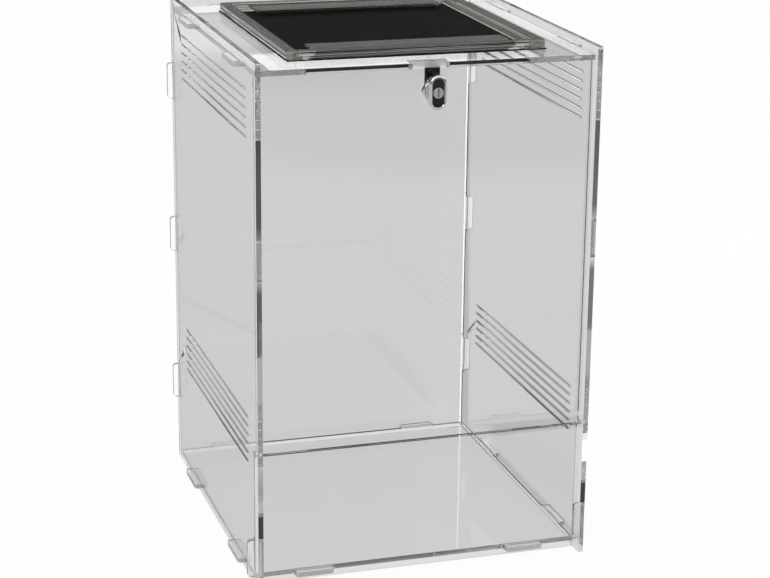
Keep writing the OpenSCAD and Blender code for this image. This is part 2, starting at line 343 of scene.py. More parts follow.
def start_material(name: str) -> tuple[Material, Graph, Node]:
    """Starts a material with one Principled BSDF.

    Args:
        name: the material's name.

    Returns:
        The material, its graph and its shader.
    """
    material = bpy.data.materials.new(name)
    graph = empty_graph(material)
    shader = graph.add("ShaderNodeBsdfPrincipled")
    graph.link(shader.outputs[0], graph.add("ShaderNodeOutputMaterial").inputs["Surface"])
    return material, graph, shader


class Cut(Enum):
    """The kinds of face on a cut sheet, in material slot order."""

    POLISHED_FACE = 0
    LONG_EDGE = 1
    SHORT_EDGE = 2
    OPENING_EDGE = 3


@dataclass(frozen=True)
class AcrylicFinish:
    """Clear cast acrylic: polished faces, glossy outlines, satin openings, frosted tabs and slots."""

    name: str = "acrylic"
    tint: Colour = (0.997, 1.0, 0.999)
    smear_tint: Colour = (0.985, 0.988, 0.987)
    ior: float = 1.49
    smear_roughness: float = 0.012
    long_edge_roughness: tuple[float, float] = (0.0, 0.02)
    short_edge_roughness: tuple[float, float] = (0.25, 0.5)
    opening_roughness: tuple[float, float] = (0.06, 0.15)
    long_edge_striation: float = 0.000002
    short_edge_striation: float = 0.000012
    short_edge_clear: float = 0.7
    long_edge_from: float = 60 * MM
    opening_from: float = 20 * MM
    facing: float = 0.7

    def materials(self, axis: Axis) -> list[Material]:
        """Gives a sheet's materials, in the order of Cut.

        Args:
            axis: across the sheet's thickness.

        Returns:
            The face material and the three edge materials.
        """
        return [
            self.face_material(),
            self.edge_material("edge", axis, self.long_edge_roughness, self.long_edge_striation, 1.0),
            self.edge_material(
                "cut", axis, self.short_edge_roughness, self.short_edge_striation, self.short_edge_clear
            ),
            self.edge_material("opening", axis, self.opening_roughness, self.long_edge_striation, 1.0),
        ]

    def face_material(self) -> Material:
        """Builds the polished faces' material, or finds it if it is there.

        Returns:
            The material.
        """
        name = f"{self.name}_face"
        if name in bpy.data.materials:
            return bpy.data.materials[name]
        material, graph, shader = start_material(name)
        shader.inputs["IOR"].default_value = self.ior
        shader.inputs["Transmission Weight"].default_value = 1.0
        worn = use_group(graph, "handling", build_handling, {})
        tint = graph.mix(worn.outputs["Dust"], self.tint, self.smear_tint)
        graph.link(tint, shader.inputs["Base Color"])
        rough = graph.math("MULTIPLY", worn.outputs["Smear"], self.smear_roughness)
        graph.link(rough, shader.inputs["Roughness"])
        return material

    def edge_material(
        self, kind: str, axis: Axis, roughness: tuple[float, float], depth: float, clear: float
    ) -> Material:
        """Builds a cut edge's material, or finds it if it is there.

        Args:
            kind: the kind of edge, for the material's name.
            axis: across the sheet's thickness.
            roughness: where the striations are shallow, and where they are deep.
            depth: how deep the striations are, in metres.
            clear: the share of the light that goes through, where the rest is scattered white.

        Returns:
            The material.
        """
        name = f"{self.name}_{kind}_{axis.name.lower()}"
        if name in bpy.data.materials:
            return bpy.data.materials[name]
        material, graph, shader = start_material(name)
        shader.inputs["IOR"].default_value = self.ior
        shader.inputs["Transmission Weight"].default_value = clear
        shader.inputs["Base Color"].default_value = (*self.tint, 1.0)
        cut = use_group(graph, "cut_edge", build_cut_edge, {"Sheet Axis": axis.value})
        lines = cut.outputs["Striation"]
        graph.link(graph.span(lines, *NOISE_RANGE, *roughness), shader.inputs["Roughness"])
        graph.bump(lines, depth, shader)
        return material

    def depth_inside(self, bm: BMesh, face: bmesh.types.BMFace) -> float:
        """Gives how far a cut edge lies inside the sheet's outline.

        Args:
            bm: the sheet.
            face: the cut edge.

        Returns:
            The smaller distance to the sheet's two ends along the edge's normal, in metres.
        """
        place = face.calc_center_median().dot(face.normal)
        ends = [vert.co.dot(face.normal) for vert in bm.verts]
        return min(place - min(ends), max(ends) - place)

    def sort_faces(self, bm: BMesh, axis: Axis) -> None:
        """Gives each face of a sheet its material slot.

        Args:
            bm: the sheet, before its edges are broken.
            axis: across the sheet's thickness.
        """
        direction = Vector(axis.value)
        for face in bm.faces:
            longest = max(edge.calc_length() for edge in face.edges)
            if abs(face.normal.dot(direction)) > self.facing:
                kind = Cut.POLISHED_FACE
            elif longest <= self.long_edge_from:
                kind = Cut.SHORT_EDGE
            elif self.depth_inside(bm, face) > self.opening_from:
                kind = Cut.OPENING_EDGE
            else:
                kind = Cut.LONG_EDGE
            face.material_index = kind.value


@dataclass(frozen=True)
class MetalFinish:
    """Plated, coated or stamped metal with a fine grain."""

    name: str
    colour: Colour
    worn: Colour
    roughness: float
    metallic: float = 1.0
    rough_spread: float = 0.12
    worn_range: tuple[float, float] = (0.35, 0.65)
    grain_depth: float = 0.000004
    grain_scale: float = 1100.0
    coat: float = 0.0

    def material(self) -> Material:
        """Builds the metal, or finds it if it is there.

        Returns:
            The material.
        """
        if self.name in bpy.data.materials:
            return bpy.data.materials[self.name]
        material, graph, shader = start_material(self.name)
        shader.inputs["Metallic"].default_value = self.metallic
        shader.inputs["Coat Weight"].default_value = self.coat
        grain = use_group(graph, "speckle", build_speckle, {"Scale": self.grain_scale})
        worn = graph.span(grain.outputs["Broad"], *self.worn_range, 0.0, 1.0)
        graph.link(graph.mix(worn, self.colour, self.worn), shader.inputs["Base Color"])
        rough = (self.roughness, self.roughness + self.rough_spread)
        graph.link(graph.span(grain.outputs["Fine"], *NOISE_RANGE, *rough), shader.inputs["Roughness"])
        graph.bump(grain.outputs["Fine"], self.grain_depth, shader)
        return material


@dataclass(frozen=True)
class MeshFinish:
    """Black coated glass-fibre thread of insect mesh."""

    name: str = "black_mesh_thread"
    colour: Colour = (0.007, 0.0075, 0.007)
    dusty: Colour = (0.016, 0.0165, 0.0155)
    specular: float = 0.2
    roughness: tuple[float, float] = (0.45, 0.6)
    dust_scale: float = 90.0
    dust_range: tuple[float, float] = (0.55, 0.75)
    twist_per_metre: float = 2600.0
    twist_wobble: float = 0.4
    twist_depth: float = 0.00003

    def material(self) -> Material:
        """Builds the thread's material, or finds it if it is there.

        Returns:
            The material.
        """
        if self.name in bpy.data.materials:
            return bpy.data.materials[self.name]
        material, graph, shader = start_material(self.name)
        shader.inputs["Specular IOR Level"].default_value = self.specular
        dust = use_group(graph, "speckle", build_speckle, {"Scale": self.dust_scale})
        lint = graph.span(dust.outputs["Fine"], *self.dust_range, 0.0, 1.0)
        graph.link(graph.mix(lint, self.colour, self.dusty), shader.inputs["Base Color"])
        rough = graph.span(dust.outputs["Broad"], *NOISE_RANGE, *self.roughness)
        graph.link(rough, shader.inputs["Roughness"])
        values = {"Scale": self.twist_per_metre, "Distortion": self.twist_wobble}
        twist = graph.add("ShaderNodeTexWave", values, bands_direction="DIAGONAL")
        graph.link(graph.place(), twist.inputs["Vector"])
        graph.bump(twist.outputs["Fac"], self.twist_depth, shader)
        return material


CLEAR = AcrylicFinish()
# The lid's clear frames and bars get a dark brownish tint: painted shade that stands in for the dark
# surroundings their faces reflect.
LID_SHADE_TINTED = AcrylicFinish("lid_acrylic", tint=(0.48, 0.465, 0.44), smear_tint=(0.47, 0.455, 0.43))
CHROME = MetalFinish(
    "lock_chrome", (0.93, 0.93, 0.94), (0.88, 0.88, 0.89), roughness=0.05, rough_spread=0.05,
    grain_depth=0.0000015, grain_scale=1500.0,
)
# A darker copy of the lock chrome for the head's dished face: painted shade that stands in for the dark
# surroundings the face reflects.
CHROME_SHADED = MetalFinish(
    "lock_face_chrome", (0.5, 0.5, 0.51), (0.42, 0.42, 0.43), roughness=0.04, rough_spread=0.05,
    grain_depth=0.0000015, grain_scale=1500.0,
)
PLUG = MetalFinish("brushed_key_plug", (0.93, 0.93, 0.93), (0.85, 0.85, 0.86), roughness=0.24)
STEEL = MetalFinish("zinc_steel", (0.6, 0.6, 0.61), (0.5, 0.5, 0.52), roughness=0.22)
BRASS = MetalFinish("stamped_brass", (0.7, 0.52, 0.22), (0.58, 0.42, 0.18), roughness=0.25)
CAM_COAT = MetalFinish(
    "black_coated_cam", (0.008, 0.008, 0.009), (0.016, 0.016, 0.017), roughness=0.22, metallic=0.0,
    rough_spread=0.15, grain_scale=900.0, coat=0.2,
)


def node_copy(node: str) -> BMesh:
    """Copies a CAD node's mesh, merges its points and makes its flat faces whole.

    Args:
        node: the CAD node's name.

    Returns:
        A closed bmesh in the row frame, in metres.
    """
    bm = bmesh.new()
    bm.from_mesh(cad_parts[node].data)
    bmesh.ops.remove_doubles(bm, verts=bm.verts, dist=SAME_PLACE)
    bmesh.ops.dissolve_limit(
        bm, angle_limit=math.radians(0.2), use_dissolve_boundaries=False, verts=bm.verts, edges=bm.edges,
        delimit={"NORMAL"},
    )
    return bm


def bevel(bm: BMesh, edges: Sequence[bmesh.types.BMEdge], width: float, steps: int = 1) -> None:
    """Breaks or rounds edges.

    Args:
        bm: the solid.
        edges: the edges.
        width: how far the new faces reach, in metres.
        steps: faces across each edge.
    """
    bmesh.ops.bevel(
        bm, geom=edges, offset=width, offset_type="OFFSET", segments=steps, profile=0.5, affect="EDGES",
        clamp_overlap=True, material=-1,
    )


def chamfer_sharp(bm: BMesh, width: float) -> None:
    """Takes the sharp edges off a solid.

    Args:
        bm: the solid.
        width: the chamfer's width in metres.
    """
    turn = math.radians(SHARP_FROM)
    bevel(bm, [e for e in bm.edges if len(e.link_faces) == 2 and e.calc_face_angle(0.0) > turn], width)


def open_joint(bm: BMesh, axis: Axis, at: float, by: float) -> None:
    """Draws back one flat end of a panel, so that a hairline of air shows in its joint.

    Args:
        bm: the panel.
        axis: the end's normal direction.
        at: where the end lies along that axis, in metres.
        by: how far it moves, signed, in metres.
    """
    direction = Vector(axis.value)
    on_face = [v for v in bm.verts if abs(v.co.dot(direction) - at) < SAME_PLACE]
    bmesh.ops.translate(bm, verts=on_face, vec=direction * by)


def add_piece(
    name: str,
    bm: BMesh,
    body: Body,
    materials: Sequence[Material],
    node: str,
    smooth_angle: float = 25.0,
) -> bpy.types.Object:
    """Turns a bmesh into a piece that rides on a body.

    Args:
        name: the piece's name.
        bm: its mesh, in the row frame; it is freed.
        body: the body that it rides on.
        materials: its materials, in slot order.
        node: the CAD node that the piece replaces.
        smooth_angle: edges that turn by fewer degrees are shaded smooth.

    Returns:
        The piece's object.
    """
    mesh = bpy.data.meshes.new(name)
    bm.to_mesh(mesh)
    bm.free()
    for material in materials:
        mesh.materials.append(material)
    mesh.shade_smooth()
    mesh.set_sharp_from_angle(angle=math.radians(smooth_angle))
    piece = bpy.data.objects.new(name, mesh)
    bpy.context.scene.collection.objects.link(piece)
    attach(piece, body.value)
    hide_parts(node)
    LOG.info("%s: %d faces, rides on %s", name, len(mesh.polygons), body.value)
    return piece


@dataclass
class AcrylicShell:
    """The tab-and-slot panels and the drop-down door."""

    finish: AcrylicFinish = CLEAR
    chamfer: float = 0.1 * MM
    joint: float = 0.06 * MM
    tab_from: float = 0.3 * MM
    panels: dict[str, tuple[Axis, Body]] = field(
        default_factory=lambda: {
            "left_side_panel": (Axis.X, Body.ENCLOSURE),
            "right_side_panel": (Axis.X, Body.ENCLOSURE),
            "back_panel": (Axis.Y, Body.ENCLOSURE),
            "lower_front_panel": (Axis.Y, Body.ENCLOSURE),
            "floor_panel": (Axis.Z, Body.ENCLOSURE),
            "top_panel": (Axis.Z, Body.ENCLOSURE),
            "front_door": (Axis.Y, Body.DOOR),
        }
    )

    def joints_of(self, node: str) -> list[tuple[Axis, float, float]]:
        """Gives the ends of a panel that butt on another panel.

        Args:
            node: the panel's CAD node.

        Returns:
            The axis, the place and the signed draw-back of each end.
        """
        if node in ("left_side_panel", "right_side_panel", "front_door"):
            return []
        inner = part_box("right_side_panel")[0].x
        ends = [(Axis.X, inner, -self.joint), (Axis.X, -inner, self.joint)]
        if node in ("floor_panel", "top_panel"):
            ends.append((Axis.Y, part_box("back_panel")[0].y, -self.joint))
        if node == "floor_panel":
            ends.append((Axis.Y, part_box("lower_front_panel")[1].y, self.joint))
        return ends

    def frost_tab(self, bm: BMesh) -> None:
        """Frosts the door's catch tab, where it stands in the top panel's notch.

        Args:
            bm: the door, before its edges are broken.
        """
        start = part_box("top_panel")[0].z - self.tab_from
        everything = bm.verts[:] + bm.edges[:] + bm.faces[:]
        bmesh.ops.bisect_plane(bm, geom=everything, plane_co=(0.0, 0.0, start), plane_no=(0.0, 0.0, 1.0))
        for face in bm.faces:
            if face.calc_center_median().z > start:
                face.material_index = Cut.SHORT_EDGE.value

    def build(self) -> None:
        """Builds every panel and the door."""
        for node, (axis, body) in self.panels.items():
            bm = node_copy(node)
            for end in self.joints_of(node):
                open_joint(bm, *end)
            self.finish.sort_faces(bm, axis)
            if node == "front_door":
                self.frost_tab(bm)
            chamfer_sharp(bm, self.chamfer)
            add_piece(f"acrylic_{node}", bm, body, self.finish.materials(axis), node)


@dataclass
class VentLid:
    """Black insect mesh under two clear frames, with a clear bar along the front and the back."""

    # The frames and bars are darkened by painted shade in this finish's tint.
    finish: AcrylicFinish = LID_SHADE_TINTED
    thread: MeshFinish = MeshFinish()
    chamfer: float = 0.55 * MM
    joint: float = 0.05 * MM
    pitch: float = 0.85 * MM
    thread_d: float = 0.42 * MM
    thread_sides: int = 6
    thread_smooth: float = 70.0
    ragged: tuple[float, float] = (-0.22 * MM, 1.1 * MM)
    seed: int = 7

    def threads(
        self, bm: BMesh, axis: Axis, low: Vector, high: Vector, z: float, rng: random.Random
    ) -> None:
        """Lays the threads of one direction.

        Args:
            bm: the mesh sheet, added to.
            axis: the direction that the threads run in.
            low: the sheet's low corner.
            high: the sheet's high corner.
            z: height of the threads' middle.
            rng: draws the ragged ends.
        """
        run, cross = (0, 1) if axis is Axis.X else (1, 0)
        count = int((high[cross] - low[cross]) / self.pitch)
        first = (low[cross] + high[cross] - (count - 1) * self.pitch) / 2
        radius = self.thread_d / 2
        turn = Matrix.Rotation(math.pi / 2, 4, "Y" if axis is Axis.X else "X")
        for number in range(count):
            start = low[run] - rng.uniform(*self.ragged)
            end = high[run] + rng.uniform(*self.ragged)
            middle = Vector((0.0, 0.0, z))
            middle[run] = (start + end) / 2
            middle[cross] = first + number * self.pitch
            bmesh.ops.create_cone(
                bm, cap_ends=True, segments=self.thread_sides, radius1=radius, radius2=radius,
                depth=end - start, matrix=Matrix.Translation(middle) @ turn,
            )

    def build_mesh(self) -> None:
        """Builds the insect mesh from its two layers of thread."""
        low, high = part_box("vent_mesh")
        rng = random.Random(self.seed)
        bm = bmesh.new()
        middle = (low.z + high.z) / 2
        self.threads(bm, Axis.X, low, high, middle - self.thread_d / 2, rng)
        self.threads(bm, Axis.Y, low, high, middle + self.thread_d / 2, rng)
        finish = [self.thread.material()]
        add_piece("insect_mesh", bm, Body.ENCLOSURE, finish, "vent_mesh", self.thread_smooth)

    def build_clear(self, node: str) -> None:
        """Builds a clear frame or bar of the lid, its underside drawn up for a hairline joint.

        Args:
            node: its CAD node.
        """
        bm = node_copy(node)
        open_joint(bm, Axis.Z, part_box(node)[0].z, self.joint)
        self.finish.sort_faces(bm, Axis.Z)
        chamfer_sharp(bm, self.chamfer)
        finish = self.finish.materials(Axis.Z)
        add_piece(f"clear_{node}", bm, Body.ENCLOSURE, finish, node)

    def build(self) -> None:
        """Builds the whole lid."""
        self.build_mesh()
        for node in ("vent_lower_frame", "vent_upper_frame", "vent_bar_front", "vent_bar_rear"):
            self.build_clear(node)


@dataclass
class CamLock:
    """The cam lock on the door: rose and barrel, nut, turn head, key plug and cam."""

    edge: float = 0.25 * MM
    head_segments: int = 48
    head_round: float = 1.8 * MM
    head_round_steps: int = 6
    rim_flat: float = 0.2 * MM
    dish_slope: float = 0.36 * MM
    dish_depth: float = 0.6 * MM
    plug_gap: float = 0.05 * MM
    recess_depth: float = 4.0 * MM
    level: float = 0.99
    thread_pitch: float = 1.0 * MM
    thread_depth: float = 0.45 * MM
    rose_crown: float = 0.9 * MM
    rose_crown_steps: int = 6
    barrel_segments: int = 64
    barrel_d: float = 14.0 * MM

    def bore(self) -> float:
        """Gives the radius of the hole for the key plug."""
        low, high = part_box("lock_key_plug")
        return (high.x - low.x) / 2 + self.plug_gap

    def axis_matrix(self) -> Matrix:
        """Gives the lock's own frame: x right, y up, z out of the door, from the door's front face.

        Returns:
            The matrix from that frame to the row frame.
        """
        low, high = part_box("lock_rose")
        place = Vector(((low.x + high.x) / 2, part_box("front_door")[0].y, (low.z + high.z) / 2))
        return Matrix.Translation(place) @ Matrix.Rotation(math.pi / 2, 4, "X")

    def build_head(self) -> None:
        """Builds the oval turn head with its rounded rim and shallow dished face."""
        low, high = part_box("lock_turn_head")
        half = (high.x - low.x) / 2
        straight = (high.z - low.z) / 2 - half
        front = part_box("front_door")[0].y
        bm = bmesh.new()
        made = bmesh.ops.create_circle(bm, cap_ends=True, segments=self.head_segments, radius=half)
        for vert in made["verts"]:
            vert.co.y += math.copysign(straight, vert.co.y)
        bmesh.ops.translate(bm, verts=bm.verts, vec=(0.0, 0.0, front - high.y))
        risen = bmesh.ops.extrude_face_region(bm, geom=bm.faces[:])
        top = [g for g in risen["geom"] if isinstance(g, bmesh.types.BMFace)][0]
        bmesh.ops.translate(bm, verts=top.verts, vec=(0.0, 0.0, high.y - low.y))
        bmesh.ops.recalc_face_normals(bm, faces=bm.faces)
        bevel(bm, list(top.edges), self.head_round, self.head_round_steps)
        level = [f for f in bm.faces if f.normal.z > self.level]
        crown = max(level, key=lambda f: f.calc_center_median().z)
        bmesh.ops.inset_region(bm, faces=[crown], thickness=self.rim_flat, use_even_offset=True)
        bmesh.ops.inset_region(
            bm, faces=[crown], thickness=self.dish_slope, depth=-self.dish_depth, use_even_offset=True
        )
        # The dished face takes the darker chrome copy, which is painted shade.
        crown.material_index = 1
        self.drill(bm, crown, self.bore())
        bm.transform(self.axis_matrix())
        finish = [CHROME.material(), CHROME_SHADED.material()]
        add_piece("oval_turn_head", bm, Body.LOCK, finish, "lock_turn_head", SMOOTH_ROUND)

    def drill(self, bm: BMesh, face: bmesh.types.BMFace, radius: float) -> None:
        """Sinks a round recess for the key plug into the head's dished face.

        Args:
            bm: the head, in the lock's own frame.
            face: the dished face.
            radius: the recess's radius.
        """
        z = face.calc_center_median().z
        outline = list(face.edges)
        ring = bmesh.ops.create_circle(
            bm, cap_ends=False, segments=self.head_segments, radius=radius,
            matrix=Matrix.Translation((0.0, 0.0, z)),
        )
        edges = list({e for v in ring["verts"] for e in v.link_edges})
        bmesh.ops.delete(bm, geom=[face], context="FACES_ONLY")
        joined = bmesh.ops.bridge_loops(bm, edges=outline + edges)
        # The ring round the recess takes the darker chrome copy too, which is painted shade.
        for made in joined["faces"]:
            made.material_index = 1
        sunk = bmesh.ops.extrude_edge_only(bm, edges=edges)
        wall = [g for g in sunk["geom"] if isinstance(g, bmesh.types.BMVert)]
        bmesh.ops.translate(bm, verts=wall, vec=(0.0, 0.0, -self.recess_depth))
        floor = [g for g in sunk["geom"] if isinstance(g, bmesh.types.BMEdge)]
        bmesh.ops.contextual_create(bm, geom=floor)
        bmesh.ops.recalc_face_normals(bm, faces=bm.faces)

    def build_rose(self) -> None:
        """Builds the rose with its crowned face, and the threaded barrel behind it."""
        low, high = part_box("lock_rose")
        radius = (high.x - low.x) / 2
        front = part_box("front_door")[0].y
        thick = front - low.y
        end = front - high.y
        barrel = self.barrel_d / 2
        bore = self.bore()
        crown = self.rose_crown
        points = [(bore, thick), (radius - crown, thick)]
        for number in range(1, self.rose_crown_steps + 1):
            turn = number / self.rose_crown_steps * math.pi / 2
            points.append((radius - crown + crown * math.sin(turn), thick - crown + crown * math.cos(turn)))
        points += [(radius, 0.0), (barrel, 0.0)]
        depth = 0.0
        while depth - self.thread_pitch > end + self.edge:
            points.append((barrel - self.thread_depth, depth - self.thread_pitch / 2))
            points.append((barrel, depth - self.thread_pitch))
            depth -= self.thread_pitch
        points += [(barrel - self.edge, end), (bore, end)]
        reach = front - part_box("lock_nut")[0].y
        LOG.info("barrel thread starts at the door's face, the nut at %.1f mm", reach / MM)
        bm = bmesh.new()
        verts = [bm.verts.new((r, 0.0, z)) for r, z in points]
        edges = [bm.edges.new((a, b)) for a, b in zip(verts, verts[1:] + verts[:1])]
        bmesh.ops.spin(
            bm, geom=verts + edges, cent=(0, 0, 0), axis=(0, 0, 1), dvec=(0, 0, 0), angle=2 * math.pi,
            steps=self.barrel_segments, use_merge=True, use_duplicate=False,
        )
        bmesh.ops.remove_doubles(bm, verts=bm.verts, dist=SAME_PLACE)
        bmesh.ops.recalc_face_normals(bm, faces=bm.faces)
        bm.transform(self.axis_matrix())
        finish = [CHROME.material()]
        add_piece("rose_and_barrel", bm, Body.DOOR, finish, "lock_rose", SMOOTH_ROUND)

    def build_small(self) -> None:
        """Builds the plug, wafers, washers, nut, cam and screw from their CAD shapes, edges broken."""
        rows = (
            ("lock_washer", "washer_ring", Body.DOOR, STEEL, Slot.STEEL, 0.08 * MM),
            ("lock_nut", "barrel_nut", Body.DOOR, STEEL, Slot.STEEL, 0.3 * MM),
            ("lock_key_plug", "key_plug", Body.LOCK, PLUG, Slot.CHROME, 0.4 * MM),
            ("lock_wafers", "plug_wafers", Body.LOCK, BRASS, Slot.BRASS, 0.05 * MM),
            ("lock_cam", "raised_cam", Body.LOCK, CAM_COAT, Slot.CAM, 0.35 * MM),
            ("cam_washer", "cam_ring", Body.LOCK, STEEL, Slot.STEEL, 0.12 * MM),
            ("cam_screw", "cam_fixing_screw", Body.LOCK, STEEL, Slot.STEEL, 0.25 * MM),
        )
        for node, name, body, finish, slot, edge in rows:
            bm = node_copy(node)
            chamfer_sharp(bm, edge)
            add_piece(name, bm, body, [finish.material()], node)

    def build(self) -> None:
        """Builds the whole lock."""
        self.build_rose()
        self.build_head()
        self.build_small()


@dataclass(frozen=True)
class Card:
    """A long card of the studio, laid on the floor from a start along a bearing, in degrees from +Y."""

    start: tuple[float, float]
    bearing: float
    half_width: float
    soft: float
    brightness: float
    length: float = 12.0

    def mask(self, graph: Graph, x: Socket, y: Socket) -> Socket:
        """Finds where the floor lies on the card.

        Args:
            graph: the floor's graph.
            x: the place's x.
            y: the place's y.

        Returns:
            A mask, 1 on the card.
        """
        way = math.radians(self.bearing)
        east, north = math.sin(way), math.cos(way)
        dx = graph.math("SUBTRACT", x, self.start[0])
        dy = graph.math("SUBTRACT", y, self.start[1])
        side = graph.math("SUBTRACT", graph.math("MULTIPLY", dx, north), graph.math("MULTIPLY", dy, east))
        ahead = graph.math("ADD", graph.math("MULTIPLY", dx, east), graph.math("MULTIPLY", dy, north))
        off = graph.math("ABSOLUTE", side)
        near = graph.span(off, self.half_width, self.half_width + self.soft, 1.0, 0.0)
        begun = graph.math("GREATER_THAN", ahead, 0.0)
        between = graph.math("MULTIPLY", begun, graph.math("LESS_THAN", ahead, self.length))
        return graph.math("MULTIPLY", near, between)


class Look:
    """A look that meets the floor or the world: how it came, and through how many sheets."""

    def __init__(self, graph: Graph) -> None:
        """Reads the light path.

        Args:
            graph: the floor's or the world's graph.
        """
        path = graph.add("ShaderNodeLightPath").outputs
        faces, turns = path["Transmission Depth"], path["Glossy Depth"]
        self.graph = graph
        self.straight = path["Is Camera Ray"]
        self.by_way = graph.math("MAXIMUM", path["Is Glossy Ray"], path["Is Transmission Ray"])
        self.bare = graph.math("LESS_THAN", faces, 0.5)
        self.past_one = graph.math("GREATER_THAN", faces, 2.5)
        self.past_two = graph.math("GREATER_THAN", faces, 5.5)
        self.reflected = graph.math("GREATER_THAN", turns, 0.5)
        self.trapped = graph.math("GREATER_THAN", turns, 2.5)

    def by_sheets(self, one: Value, two: Value, more: Value) -> Socket:
        """Chooses a brightness by the sheets passed: up to one, two, or more."""
        return self.graph.pick(self.past_two, self.graph.pick(self.past_one, one, two), more)

    def by_turns(self, straight: Value, cards: Value, trapped: Value) -> Socket:
        """Chooses a brightness by the reflections: none, one or two, or more."""
        return self.graph.pick(self.reflected, straight, self.graph.pick(self.trapped, cards, trapped))


@dataclass(frozen=True)
class Softbox:
    """A soft square lamp: its place and side in metres, its power in watts."""

    name: str
    place: tuple[float, float, float]
    size: float
    power: float


@dataclass
class Studio:
    """Pale floor, plain soft light, the cards that the acrylic and the chrome show, and the camera.

    The acrylic's grey faces, dark edges and bright corners come from what a look meets behind it. That
    depends on how many sheet faces it has passed, how often it was reflected, and where it lands. Floor
    places are in metres and each level is a brightness, where 1 is white.
    """

    lens: float = 99.43
    sensor: float = 36.0
    place: tuple[float, float, float] = (-0.5481, -1.7908, 0.7914)
    pitch: float = 17.23
    yaw: float = 17.38
    roll: float = 0.63
    clip: tuple[float, float] = (0.05, 50.0)
    bounces: int = 64
    through_bounces: int = 32
    seen_white: float = 1.0
    floor_lift: float = 1.03
    floor_plain: float = 0.9
    floor_colour: Colour = (0.86, 0.86, 0.86)
    floor_reach: float = 2.5
    one_sheet: float = 0.74
    three_sheets: float = 1.0
    behind_grey: float = 0.62
    far_grey: float = 1.0
    far_from: tuple[float, float] = (2.12, 2.3)
    far_strip: Card = Card((0.41, 2.075), 90.0, 0.075, 0.03, 1.7, 0.55)
    under_floor: float = 0.74
    open_left: float = 0.2089
    corner_glow: Card = Card((0.15, 0.163), 160.7, 0.03, 0.01, 1.7)
    footprint: tuple[float, float] = (0.15, 0.165)
    floor_half: float = 6.0
    flags: tuple[Card, ...] = (
        Card((0.1455, 0.158), -19.45, 0.005, 0.002, 0.01),
        Card((0.0103, 0.17), -22.9, 0.0025, 0.0015, 0.01),
        Card((-0.15, 0.138), 90.0, 0.015, 0.002, 0.03, 0.3),
        Card((0.14, -0.15), 0.0, 0.0055, 0.001, 0.03, 0.3),
        Card((0.15, 0.165), 160.6, 0.03, 0.01, 0.02),
    )
    face_card: tuple[float, float] = (0.66, -2.08)
    face_card_radius: tuple[float, float] = (0.5, 0.7)
    face_card_level: float = 0.04
    edge_bands: Stops = (
        (0.17, 0.3), (0.23, 0.45), (0.34, 0.45), (0.5, 0.4), (0.56, 0.08), (0.78, 0.08),
        (0.83, 0.35), (0.97, 0.3), (1.08, 0.06), (1.8, 0.06), (1.95, 0.4),
    )
    crossed_bands: Stops = (
        (0.0, 0.03), (0.1, 0.03), (0.11, 0.35), (0.165, 0.35), (0.17, 0.05), (0.2, 0.05),
        (0.22, 0.4), (2.05, 0.4), (2.15, 0.14),
    )
    right_strip: tuple[Card, ...] = (
        Card((0.148, 0.165), 22.9, 0.035, 0.01, 1.9),
        Card((0.148, 0.165), -22.9, 0.035, 0.01, 1.9),
    )
    strip_bearings: tuple[float, float] = (0.25, 0.42)
    trapped_sky: tuple[float, float, float] = (0.38, 0.16, 0.03)
    low_sky: tuple[float, float, float] = (0.05, 0.02, 0.32)
    lowest_sky: float = 1.3
    lowest_to: tuple[float, float] = (0.192, 0.205)
    bare_sky: float = 0.1
    high_sky: float = 1.12
    ambient: float = 0.6
    high_from: tuple[float, float] = (0.48, 0.6)
    glow_spread: float = 0.02
    aim: tuple[float, float, float] = (0.0, 0.0, 0.22)
    softboxes: tuple[Softbox, ...] = (
        Softbox("left_softbox", (-1.6, -0.9, 1.7), 1.2, 14.0),
        Softbox("right_softbox", (1.7, 0.2, 1.5), 1.0, 9.0),
    )

    def build_camera(self) -> None:
        """Makes the camera from its yaw, pitch and roll."""
        pitch, yaw, roll = (math.radians(a) for a in (self.pitch, self.yaw, self.roll))
        out = math.cos(pitch)
        ahead = Vector((math.sin(yaw) * out, math.cos(yaw) * out, -math.sin(pitch)))
        level = Vector((math.cos(yaw), -math.sin(yaw), 0.0))
        upright = level.cross(ahead)
        right = level * math.cos(roll) + upright * math.sin(roll)
        up = upright * math.cos(roll) - level * math.sin(roll)
        data = bpy.data.cameras.new("camera")
        data.lens = self.lens
        data.sensor_width = self.sensor
        data.sensor_fit = "HORIZONTAL"
        data.clip_start, data.clip_end = self.clip
        camera = bpy.data.objects.new("camera", data)
        turn = Matrix((right, up, -ahead)).transposed().to_4x4()
        camera.matrix_world = Matrix.Translation(self.place) @ turn
        bpy.context.scene.collection.objects.link(camera)
        bpy.context.scene.camera = camera

    def floor_cards(self, look: Look, place: Socket, x: Socket, y: Socket) -> Socket:
        """Gives the floor's brightness after one or two reflections: grey, with its cards.

        Args:
            look: the look that meets it.
            place: the place on the floor.
            x: the place's x.
            y: the place's y.

        Returns:
            The brightness.
        """
        graph = look.graph
        cards: Value = self.behind_grey
        for card in self.flags:
            on_flag = graph.math("MULTIPLY", card.mask(graph, x, y), look.past_one)
            cards = graph.pick(on_flag, cards, card.brightness)
        gap = graph.add("ShaderNodeVectorMath", {1: (*self.face_card, 0.0)}, operation="DISTANCE")
        graph.link(place, gap.inputs[0])
        on_card = graph.span(gap.outputs["Value"], *self.face_card_radius, 1.0, 0.0)
        cards = graph.pick(on_card, cards, self.face_card_level)
        glow = graph.math("MULTIPLY", self.corner_glow.mask(graph, x, y), look.past_two)
        return graph.pick(glow, cards, self.corner_glow.brightness)

